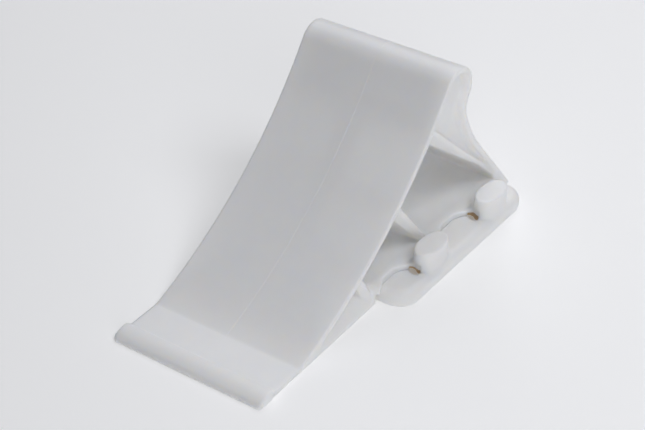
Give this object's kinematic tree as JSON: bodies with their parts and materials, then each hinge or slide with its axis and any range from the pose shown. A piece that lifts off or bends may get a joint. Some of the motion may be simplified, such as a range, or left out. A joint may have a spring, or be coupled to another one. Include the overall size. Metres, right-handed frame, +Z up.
{
  "type": "wheel chock",
  "caption": "White moulded plastic wheel chock with a curved face, rolled crest, ribbed side pockets and foot rails with oval holder posts.",
  "frame": {"origin": "centre of the bounding box in plan, on the floor", "axes": "+X from the toe to the heel, +Y across to the left side, +Z up"},
  "size_m": [0.3149, 0.1686, 0.1373],
  "materials": {
    "white_plastic": "satin moulded polyolefin, slightly translucent white"
  },
  "bodies": {
    "root": {"toe_lip": "white_plastic", "toe_plate": "white_plastic", "face_plate": "white_plastic", "crest_roll": "white_plastic", "back_plate": "white_plastic", "sole_plate": "white_plastic", "centre_web": "white_plastic", "right_upper_rib": "white_plastic", "right_middle_rib": "white_plastic", "right_lower_rib": "white_plastic", "right_pocket_floor": "white_plastic", "right_foot_rail": "white_plastic", "right_rear_post": "white_plastic", "right_front_post": "white_plastic", "left_upper_rib": "white_plastic", "left_middle_rib": "white_plastic", "left_lower_rib": "white_plastic", "left_pocket_floor": "white_plastic", "left_foot_rail": "white_plastic", "left_rear_post": "white_plastic", "left_front_post": "white_plastic"}
  },
  "joints": []
}
